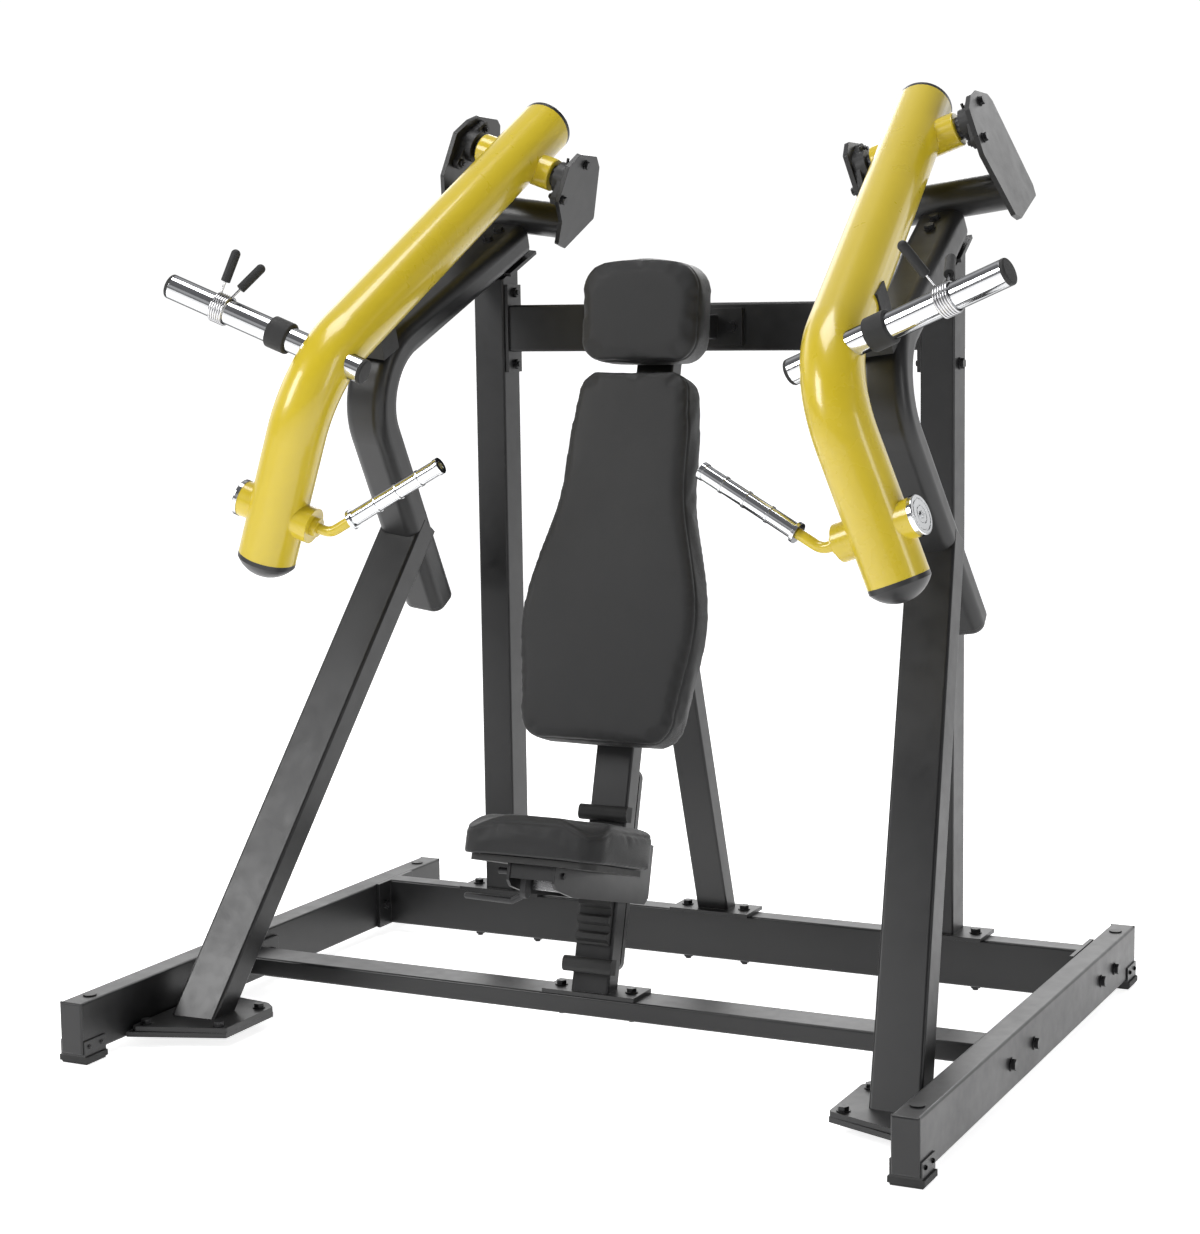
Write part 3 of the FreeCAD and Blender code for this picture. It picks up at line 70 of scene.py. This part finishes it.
def surface(name, colour, rough=0.4, spread=0.08, mottle=0.12, patch=4.0, grain=400.0,
            height=0.00006, metallic=0.0, coat=0.0, coat_rough=0.05, edge=0.0012, cells=False,
            stretch=None, dust=0.0, wave=0.0, wave_scale=12.0, specular=0.5, painted_edge_shade=0.0):
    """Procedural surface in object space; lengths are in metres.

    rough and spread: middle and half range of the roughness.
    mottle: how far slow patches lighten and darken the colour; patch: their number per metre.
    grain and height: fine relief, in features per metre and in depth; cells makes it leather-like.
    stretch: scale of the fine relief along x, y and z.
    wave and wave_scale: depth and number per metre of the broad unevenness.
    coat and coat_rough: clear top layer. edge: radius that softens machined edges.
    dust: how much pale dust lies on faces that look up. rim: tone of the painted shade that darkens a
    mirror's colour and edge reflection at grazing angles."""
    mat = bpy.data.materials.new(name)
    mat.use_nodes = True
    t = mat.node_tree
    link = t.links.new
    bsdf = t.nodes["Principled BSDF"]
    coord = t.nodes.new("ShaderNodeTexCoord")
    place = t.nodes.new("ShaderNodeMapping")
    link(coord.outputs["Object"], place.inputs["Vector"])
    if stretch:
        place.inputs["Scale"].default_value = stretch
    slow = node(t, "ShaderNodeTexNoise", Scale=patch, Detail=4.0, Roughness=0.6)
    link(coord.outputs["Object"], slow.inputs["Vector"])
    mid = node(t, "ShaderNodeTexNoise", Scale=patch * 9, Detail=3.0, Roughness=0.55)
    link(coord.outputs["Object"], mid.inputs["Vector"])
    mix = t.nodes.new("ShaderNodeMath")
    mix.operation = "MULTIPLY_ADD"
    mix.inputs[1].default_value = 0.35
    link(mid.outputs["Fac"], mix.inputs[0])
    scaled = t.nodes.new("ShaderNodeMath")
    scaled.operation = "MULTIPLY"
    scaled.inputs[1].default_value = 0.65
    link(slow.outputs["Fac"], scaled.inputs[0])
    link(scaled.outputs[0], mix.inputs[2])
    base = ramp(t, mix.outputs[0], [(0.36, shade(colour, 1 - mottle)), (0.5, colour),
                                    (0.64, shade(colour, 1 + mottle))])
    if dust:
        geo = t.nodes.new("ShaderNodeNewGeometry")
        split = t.nodes.new("ShaderNodeSeparateXYZ")
        link(geo.outputs["Normal"], split.inputs[0])
        up = t.nodes.new("ShaderNodeMapRange")
        up.inputs["From Min"].default_value = 0.5
        up.inputs["To Max"].default_value = dust
        link(split.outputs["Z"], up.inputs["Value"])
        blend = t.nodes.new("ShaderNodeMix")
        blend.data_type = "RGBA"
        link(up.outputs["Result"], blend.inputs["Factor"])
        link(base, blend.inputs[6])
        blend.inputs[7].default_value = DUST_COLOUR
        base = blend.outputs[2]
    # Painted shade: the colour and edge reflection darken towards grazing angles, standing in for a dark room
    # reflected along a mirror's edges.
    if painted_edge_shade:
        facing = node(t, "ShaderNodeLayerWeight", Blend=0.5)
        painted_edge_shade_ramp = ramp(t, facing.outputs["Facing"],
                         [(0.5, (1, 1, 1)), (0.8, (painted_edge_shade, painted_edge_shade, painted_edge_shade)), (1.0, (painted_edge_shade, painted_edge_shade, painted_edge_shade))])
        tone = t.nodes.new("ShaderNodeMix")
        tone.data_type = "RGBA"
        tone.blend_type = "MULTIPLY"
        tone.inputs["Factor"].default_value = 1.0
        link(base, tone.inputs[6])
        link(painted_edge_shade_ramp, tone.inputs[7])
        base = tone.outputs[2]
        bsdf.inputs["Specular Tint"].default_value = (painted_edge_shade, painted_edge_shade, painted_edge_shade, 1)
    link(base, bsdf.inputs["Base Color"])
    rr = t.nodes.new("ShaderNodeMapRange")
    rr.inputs["From Min"].default_value = 0.35
    rr.inputs["From Max"].default_value = 0.65
    rr.inputs["To Min"].default_value = max(0.02, rough - spread)
    rr.inputs["To Max"].default_value = rough + spread
    link(mix.outputs[0], rr.inputs["Value"])
    link(rr.outputs["Result"], bsdf.inputs["Roughness"])
    bsdf.inputs["Metallic"].default_value = metallic
    bsdf.inputs["Specular IOR Level"].default_value = specular
    if coat:
        bsdf.inputs["Coat Weight"].default_value = coat
        bsdf.inputs["Coat Roughness"].default_value = coat_rough
    if cells:
        fine = node(t, "ShaderNodeTexVoronoi", Scale=grain)
        fine.feature = "DISTANCE_TO_EDGE"
        link(place.outputs[0], fine.inputs["Vector"])
        out = t.nodes.new("ShaderNodeMapRange")
        out.inputs["From Max"].default_value = 0.12
        link(fine.outputs["Distance"], out.inputs["Value"])
        relief = out.outputs["Result"]
    else:
        fine = node(t, "ShaderNodeTexNoise", Scale=grain, Detail=2.0, Roughness=0.5)
        link(place.outputs[0], fine.inputs["Vector"])
        relief = fine.outputs["Fac"]
    bump = node(t, "ShaderNodeBump", Strength=1.0, Distance=height)
    link(relief, bump.inputs["Height"])
    normal_from = None
    if edge:
        soft = t.nodes.new("ShaderNodeBevel")
        soft.samples = 4
        soft.inputs["Radius"].default_value = edge
        normal_from = soft.outputs["Normal"]
    if wave:
        broad = node(t, "ShaderNodeTexNoise", Scale=wave_scale, Detail=2.0)
        link(coord.outputs["Object"], broad.inputs["Vector"])
        swell = node(t, "ShaderNodeBump", Strength=1.0, Distance=wave)
        link(broad.outputs["Fac"], swell.inputs["Height"])
        if normal_from:
            link(normal_from, swell.inputs["Normal"])
        normal_from = swell.outputs["Normal"]
    if normal_from:
        link(normal_from, bump.inputs["Normal"])
    link(bump.outputs["Normal"], bsdf.inputs["Normal"])
    return mat


MAT = {
    "powder": surface("black_powder_coat", (0.007, 0.007, 0.0074), rough=0.36, spread=0.06, mottle=0.2,
                      grain=650, height=0.00005, wave=0.00012, dust=0.012),
    "yellow": surface("yellow_enamel", (0.56, 0.425, 0.018), rough=0.28, spread=0.015, mottle=0.025,
                      patch=2.5, grain=300, height=0.00002, coat=0.45, coat_rough=0.05),
    # Chrome and spring wire get painted shade at grazing angles through rim.
    "chrome": surface("chrome_plate", (0.78, 0.79, 0.8), rough=0.07, spread=0.03, mottle=0.04,
                      patch=20, grain=900, height=0.000002, metallic=1.0, edge=0.0008, painted_edge_shade=0.22),
    "spring": surface("plated_spring_wire", (0.6, 0.6, 0.61), rough=0.2, spread=0.05, mottle=0.08, patch=60,
                      grain=1500, height=0.000004, metallic=1.0, edge=0, painted_edge_shade=0.3),
    "steel": surface("zinc_plated_steel", (0.5, 0.5, 0.5), rough=0.24, spread=0.06, mottle=0.08, patch=40,
                     grain=1400, height=0.00001, metallic=1.0, edge=0.0006),
    "oxide": surface("black_oxide_shaft", (0.05, 0.05, 0.052), rough=0.28, spread=0.08, mottle=0.2, patch=50,
                     grain=1500, height=0.00001, metallic=0.8, edge=0.0006),
    "rubber": surface("black_rubber", (0.011, 0.011, 0.011), rough=0.66, spread=0.08, mottle=0.2, patch=14,
                      grain=900, height=0.00012, dust=0.03),
    "plastic": surface("moulded_black_plastic", (0.012, 0.012, 0.0125), rough=0.38, spread=0.07, mottle=0.15,
                       patch=16, grain=1600, height=0.00004, dust=0.012),
    "nylon": surface("black_nylon", (0.03, 0.03, 0.031), rough=0.42, spread=0.06, mottle=0.12, patch=30,
                     grain=1200, height=0.00004),
    "bolts": surface("black_oxide_bolt", (0.02, 0.02, 0.021), rough=0.34, spread=0.1, mottle=0.25, patch=60,
                     grain=1800, height=0.00003, metallic=0.5, edge=0.0006),
    "board": surface("painted_plywood", (0.014, 0.0138, 0.0134), rough=0.6, spread=0.08, mottle=0.25,
                     patch=12, grain=160, height=0.0002, stretch=(1, 1, 8)),
    "cast": surface("cast_black_housing", (0.013, 0.013, 0.014), rough=0.5, spread=0.1, mottle=0.25, patch=24,
                    grain=420, height=0.00018, edge=0.002),
    "vinyl": surface("black_vinyl", (0.0095, 0.0095, 0.0099), rough=0.46, spread=0.05, mottle=0.15, patch=7,
                     grain=720, height=0.00012, cells=True, edge=0, wave=0.0006, wave_scale=5, specular=0.38),
}

# Nodes of each finish; a name also stands for its left_ and right_ pair.
FINISH = {
    "powder": ["side_rail", "bent_frame_tube", "front_leg", "upright", "foot_brackets",
               "rear_cross_beam", "front_cross_beam", "upper_cross_beam", "cross_tubes",
               "bearing_plates", "seat_post", "top_tie", "rear_strut", "seat_carriage",
               "head_bracket", "post_guide"],
    "yellow": ["arm_tube", "handle_rod"],
    "chrome": ["weight_horn", "hub_disc", "handle_grip"],
    "spring": ["collar_spring"],
    "steel": ["lock_bolt"],
    "oxide": ["pivot_shaft"],
    "rubber": ["horn_stops", "collar_grips", "rest_stop_pads", "post_bumpers", "rubber_feet", "height_rack"],
    "plastic": ["arm_end_caps", "rail_end_caps", "rail_plug_discs", "bent_tube_caps"],
    "nylon": ["glide_blocks"],
    "bolts": ["frame_bolts", "bearing_bolts"],
    "board": ["seat_board", "back_board", "head_board"],
    "cast": ["bearing_housings", "seat_lever"],
    "vinyl": ["seat_pad", "back_pad", "head_pad"],
}
finished = set()
for kind, names in FINISH.items():
    for name in names:
        for full in (name, "left_" + name, "right_" + name):
            if full in NODES:
                for slot in NODES[full].material_slots:
                    slot.material = MAT[kind]
                finished.add(full)
assert finished == set(NODES), sorted(set(NODES) - finished)


# --------------------------------------------------------------------- frames
def turned(origin, x, y, z):
    """Matrix of a local frame given in millimetres."""
    m = Matrix((x, y, z)).transposed().to_4x4()
    m.translation = Vector(origin) / 1000
    return m


def lean_frame(origin, degrees):
    a = math.radians(degrees)
    return turned(origin, (1, 0, 0), (0, math.cos(a), -math.sin(a)), (0, math.sin(a), math.cos(a)))


# The local frames of the three pads, at the places that the CAD gives them (millimetres, degrees).
POST_LEAN = 15.5
POST_FOOT = Vector((0, -147, 96))
POST_UP = Vector((0, math.sin(math.radians(POST_LEAN)), math.cos(math.radians(POST_LEAN))))
SEAT_ALONG_POST = 279
SEAT = lean_frame(POST_FOOT + POST_UP * SEAT_ALONG_POST, POST_LEAN)
BACK = lean_frame((0, -58, 797), 16.7)
HEAD = lean_frame((0, 107, 1404), 7.0)


# ----------------------------------------------------------------------- pads
PAD_VOXEL = 0.005           # mesh size of the remeshed pad
PAD_SHRINK = 0.005          # how much smaller the pad starts before it is inflated
PAD_PRESSURE = 4.0
PINNED_BAND = 0.011         # depth of the band that stays on the board
CLOTH_STIFFNESS, CLOTH_BENDING, CLOTH_STEPS = 60, 12, 20


def local_points(mesh, frame_matrix):
    co = np.array([v.co for v in mesh.vertices], float)
    inv = np.array(frame_matrix.inverted())
    return co @ inv[:3, :3].T + inv[:3, 3]


def set_local_points(mesh, frame_matrix, co):
    m = np.array(frame_matrix)
    world = co @ m[:3, :3].T + m[:3, 3]
    mesh.vertices.foreach_set("co", world.astype(np.float32).ravel())
    mesh.update()


def vertex_normals(mesh, frame_matrix):
    n = np.array([v.normal for v in mesh.vertices], float)
    return n @ np.array(frame_matrix)[:3, :3]


def smooth_step(x, a, b):
    t = np.clip((x - a) / (b - a), 0, 1)
    return t * t * (3 - 2 * t)


def apply_modifiers(ob):
    bpy.context.view_layer.update()
    deps = bpy.context.evaluated_depsgraph_get()
    mesh = bpy.data.meshes.new_from_object(ob.evaluated_get(deps))
    ob.modifiers.clear()
    old = ob.data
    ob.data = mesh
    bpy.data.meshes.remove(old)


def make_pad(name, cad_node, at, axis, limit, rounds, shape, swell):
    """Upholstered pad: remeshed from its node, inflated as cloth, then smoothed and subdivided.

    at is the pad's local frame and axis the direction of its thickness in it (1 is y,
    2 is z). The face on the board is pinned. limit caps how far the cloth moves a point
    and rounds counts the smoothing passes. The finished pad is set to its node's size
    plus swell, how far foam and cover stand proud of it on the low and the high side."""
    mesh = NODES[cad_node].data.copy()
    size = local_points(mesh, at)
    low, high = size.min(0), size.max(0)
    ob = bpy.data.objects.new(name, mesh)
    bpy.context.collection.objects.link(ob)
    ob.data.materials.clear()
    remesh = ob.modifiers.new("remesh", "REMESH")
    remesh.mode = "VOXEL"
    remesh.voxel_size = PAD_VOXEL
    apply_modifiers(ob)
    co = local_points(ob.data, at)
    mid, half = (low + high) / 2, (high - low) / 2
    co = mid + (co - mid) * (1 - PAD_SHRINK / half)
    co = shape(co, low, high)
    set_local_points(ob.data, at, co)
    relax(ob.data, at, 1)
    co = local_points(ob.data, at)
    start = co.copy()
    if axis == 1:
        on_board = start[:, 1] > high[1] - PINNED_BAND
    else:
        on_board = start[:, 2] < low[2] + PINNED_BAND
    pin = ob.vertex_groups.new(name="pin")
    pin.add([int(i) for i in np.nonzero(on_board)[0]], 1.0, "REPLACE")
    cloth = ob.modifiers.new("cloth", "CLOTH")
    cloth.settings.quality = 4
    cloth.settings.use_pressure = True
    cloth.settings.uniform_pressure_force = PAD_PRESSURE
    cloth.settings.effector_weights.gravity = 0
    cloth.settings.vertex_group_mass = "pin"
    cloth.settings.tension_stiffness = CLOTH_STIFFNESS
    cloth.settings.compression_stiffness = CLOTH_STIFFNESS
    cloth.settings.bending_stiffness = CLOTH_BENDING
    cloth.collision_settings.use_collision = False
    cloth.point_cache.frame_start = 1
    cloth.point_cache.frame_end = CLOTH_STEPS + 2
    for step in range(1, CLOTH_STEPS + 1):
        bpy.context.scene.frame_set(step)
    apply_modifiers(ob)
    bpy.context.scene.frame_set(1)
    co = local_points(ob.data, at)
    move = co - start
    length = np.linalg.norm(move, axis=1, keepdims=True)
    co = start + move * np.minimum(1.0, limit / np.maximum(length, 1e-9))
    set_local_points(ob.data, at, co)
    relax(ob.data, at, rounds)
    sub = ob.modifiers.new("smooth", "SUBSURF")
    sub.levels = sub.render_levels = 1
    apply_modifiers(ob)
    co = local_points(ob.data, at)
    a, b = co.min(0), co.max(0)
    low, high = low - np.array(swell[0]), high + np.array(swell[1])
    co = low + (co - a) * ((high - low) / (b - a))
    set_local_points(ob.data, at, co)
    for p in ob.data.polygons:
        p.use_smooth = True
    ob.data.materials.clear()
    ob.data.materials.append(MAT["vinyl"])
    return ob


def relax(mesh, at, rounds):
    """Laplacian smoothing: each round moves every point halfway to its neighbours' mean."""
    co = local_points(mesh, at)
    edges = np.zeros(len(mesh.edges) * 2, np.int64)
    mesh.edges.foreach_get("vertices", edges)
    edges = edges.reshape(-1, 2)
    count = np.bincount(edges.ravel(), minlength=len(co))[:, None]
    for _ in range(rounds):
        total = np.zeros_like(co)
        for i in range(3):
            total[:, i] = (np.bincount(edges[:, 0], co[edges[:, 1], i], len(co))
                           + np.bincount(edges[:, 1], co[edges[:, 0], i], len(co)))
        co = co + 0.5 * (total / count - co)
    set_local_points(mesh, at, co)


def seam(ob, at, axis, level, depth=0.0022, width=0.0028):
    """Sewn line round the pad's sides at a level of its thickness, one number or one per point."""
    co = local_points(ob.data, at)
    n = vertex_normals(ob.data, at)
    d = (co[:, axis] - level) / width
    side = 1 - smooth_step(np.abs(n[:, axis]), 0.85, 0.98)
    co -= n * (depth * np.exp(-d * d) * side)[:, None]
    set_local_points(ob.data, at, co)


HEAD_CROWN = 0.016          # fall of the head pad's upper edge from its middle to its sides
TOP_SWELL = 0.07            # extra width of the back pad's upper part


def crown_top(co, low, high):
    """Bows the upper edge of the head pad upwards."""
    co = co.copy()
    x = co[:, 0] / high[0]
    z = (co[:, 2] - low[2]) / (high[2] - low[2])
    co[:, 2] -= HEAD_CROWN * np.abs(x) ** 2.2 * smooth_step(z, 0.5, 1.0)
    return co


def broad_top(co, low, high):
    """Full shoulders: the narrow upper part of the back pad swells more than the hips."""
    co = co.copy()
    co[:, 0] *= 1 + TOP_SWELL * smooth_step(co[:, 2], 0.1, 0.4)
    return co


SEAT_DROOP = 0.020          # fall of the seat's two front corners


def droop(co):
    """How far the top of the seat falls away towards its two front corners."""
    across = smooth_step(np.abs(co[:, 0]), 0.055, 0.138)
    along = smooth_step(-co[:, 1], 0.248, 0.322)
    return SEAT_DROOP * across * along


def thigh_relief(co, low, high):
    """Lowers the seat's front corners, most at the top and not at all on the board."""
    co = co.copy()
    co[:, 2] -= droop(co) * (co[:, 2] - low[2]) / (high[2] - low[2])
    return co


back = make_pad("back_cushion", "back_pad", BACK, 1, limit=0.004, rounds=3, shape=broad_top,
                swell=((0.006, 0.005, 0.003), (0.006, 0, 0.003)))
seam(back, BACK, 1, 0.014)
head = make_pad("head_cushion", "head_pad", HEAD, 1, limit=0.006, rounds=5, shape=crown_top,
                swell=((0.005, 0.004, 0.002), (0.005, 0, 0.002)))
seam(head, HEAD, 1, 0.018)
seat = make_pad("seat_cushion", "seat_pad", SEAT, 2, limit=0.003, rounds=1, shape=thigh_relief,
                swell=((0.003, 0.003, 0), (0.003, 0, 0.006)))
SEAT_SEAM_DROP = 0.015      # seam below the top of the seat
seat_points = local_points(seat.data, SEAT)
seam(seat, SEAT, 2, seat_points[:, 2].max() - SEAT_SEAM_DROP - droop(seat_points), depth=0.0015)

PADS = ((back, "back_pad", "frame"), (head, "head_pad", "frame"), (seat, "seat_pad", "seat"))
for ob, cad_node, body in PADS:
    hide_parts(cad_node)
    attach(ob, body)


# -------------------------------------------------------------- floor, lights
def area(name, at, target, size, power):
    """White rectangular soft box at a point, turned towards a target."""
    data = bpy.data.lights.new(name, "AREA")
    data.shape = "RECTANGLE"
    data.size, data.size_y = size
    data.energy = power
    ob = bpy.data.objects.new(name, data)
    bpy.context.collection.objects.link(ob)
    ob.location = at
    ob.rotation_euler = (Vector(target) - Vector(at)).to_track_quat("-Z", "Y").to_euler()


area("key", (-3.0, -3.6, 3.4), (0, 0, 0.9), (1.6, 2.2), 120)
area("fill", (4.6, -1.2, 2.2), (0, 0, 0.9), (0.9, 2.4), 30)
area("top", (-0.4, -0.4, 5.2), (0, 0, 0), (2.2, 2.2), 110)
area("back", (-1.0, 4.6, 3.4), (0, 0, 1.0), (3.0, 1.6), 60)

FLOOR_HALF_SIZE, FLOOR_DROP, FLOOR_GLOW = 60, 0.0005, 0.8
floor_mesh = bpy.data.meshes.new("floor")
bm = bmesh.new()
bmesh.ops.create_grid(bm, x_segments=8, y_segments=8, size=FLOOR_HALF_SIZE)
bm.to_mesh(floor_mesh)
bm.free()
floor = bpy.data.objects.new("floor", floor_mesh)
bpy.context.collection.objects.link(floor)
floor.location.z = -FLOOR_DROP
fmat = bpy.data.materials.new("pale_floor")
fmat.use_nodes = True
ft = fmat.node_tree
fb = ft.nodes["Principled BSDF"]
fnoise = node(ft, "ShaderNodeTexNoise", Scale=3.0, Detail=3.0)
fcoord = ft.nodes.new("ShaderNodeTexCoord")
ft.links.new(fcoord.outputs["Object"], fnoise.inputs["Vector"])
ft.links.new(ramp(ft, fnoise.outputs["Fac"], [(0.3, (0.9, 0.9, 0.9)), (0.7, (0.93, 0.93, 0.93))]),
             fb.inputs["Base Color"])
fb.inputs["Roughness"].default_value = 0.6
fb.inputs["Specular IOR Level"].default_value = 0.1
fb.inputs["Emission Color"].default_value = (1, 1, 1, 1)
fb.inputs["Emission Strength"].default_value = FLOOR_GLOW
floor_mesh.materials.append(fmat)

# The room: a bright ring above the horizon, times a bright side behind the machine and to its left.
ROOM_BRIGHT_SIDE = (-0.438, 0.899, 0.0)
ROOM_STRENGTH = 1.9
world = bpy.data.worlds.new("studio")
bpy.context.scene.world = world
world.use_nodes = True
wt = world.node_tree
bg = wt.nodes["Background"]
wc = wt.nodes.new("ShaderNodeTexCoord")
ws = wt.nodes.new("ShaderNodeSeparateXYZ")
wt.links.new(wc.outputs["Generated"], ws.inputs[0])
toward = wt.nodes.new("ShaderNodeVectorMath")
toward.operation = "DOT_PRODUCT"
toward.inputs[1].default_value = ROOM_BRIGHT_SIDE
wt.links.new(wc.outputs["Generated"], toward.inputs[0])
band = ramp(wt, ws.outputs["Z"], [(0.0, (0.55, 0.55, 0.55)), (0.15, (0.55, 0.55, 0.55)), (0.22, (1, 1, 1)),
                                  (0.42, (1, 1, 1)), (0.5, (0.3, 0.3, 0.305)), (1.0, (0.4, 0.4, 0.41))])
room = ramp(wt, toward.outputs["Value"], [(0.0, (0.2, 0.2, 0.205)), (0.3, (0.28, 0.28, 0.285)),
                                          (0.7, (1, 1, 1)), (1.0, (1, 1, 1))])
both = wt.nodes.new("ShaderNodeMix")
both.data_type = "RGBA"
both.blend_type = "MULTIPLY"
both.inputs["Factor"].default_value = 1.0
wt.links.new(band, both.inputs[6])
wt.links.new(room, both.inputs[7])
wt.links.new(both.outputs[2], bg.inputs["Color"])
bg.inputs["Strength"].default_value = ROOM_STRENGTH

# --------------------------------------------------------------------- camera
CAMERA_AT = (2.1404, -4.3650, 1.4241)
YAW, PITCH, ROLL = (math.radians(v) for v in (25.98, 7.18, -0.79))
back_dir = Vector((math.sin(YAW) * math.cos(PITCH), -math.cos(YAW) * math.cos(PITCH), math.sin(PITCH)))
level_right = Vector((0, 0, 1)).cross(back_dir).normalized()
level_up = back_dir.cross(level_right)
cam_right = level_right * math.cos(ROLL) + level_up * math.sin(ROLL)
cam_up = level_up * math.cos(ROLL) - level_right * math.sin(ROLL)
cam = bpy.data.cameras.new("camera")
cam.sensor_width = 36.0
cam.lens = 73.27
cam.shift_x = -0.0189
cam.shift_y = -0.00065
cam.clip_end = 200
camera = bpy.data.objects.new("camera", cam)
bpy.context.collection.objects.link(camera)
m = Matrix((cam_right, cam_up, back_dir)).transposed().to_4x4()
m.translation = CAMERA_AT
camera.matrix_world = m
bpy.context.scene.camera = camera
bpy.context.scene.view_settings.view_transform = "Standard"
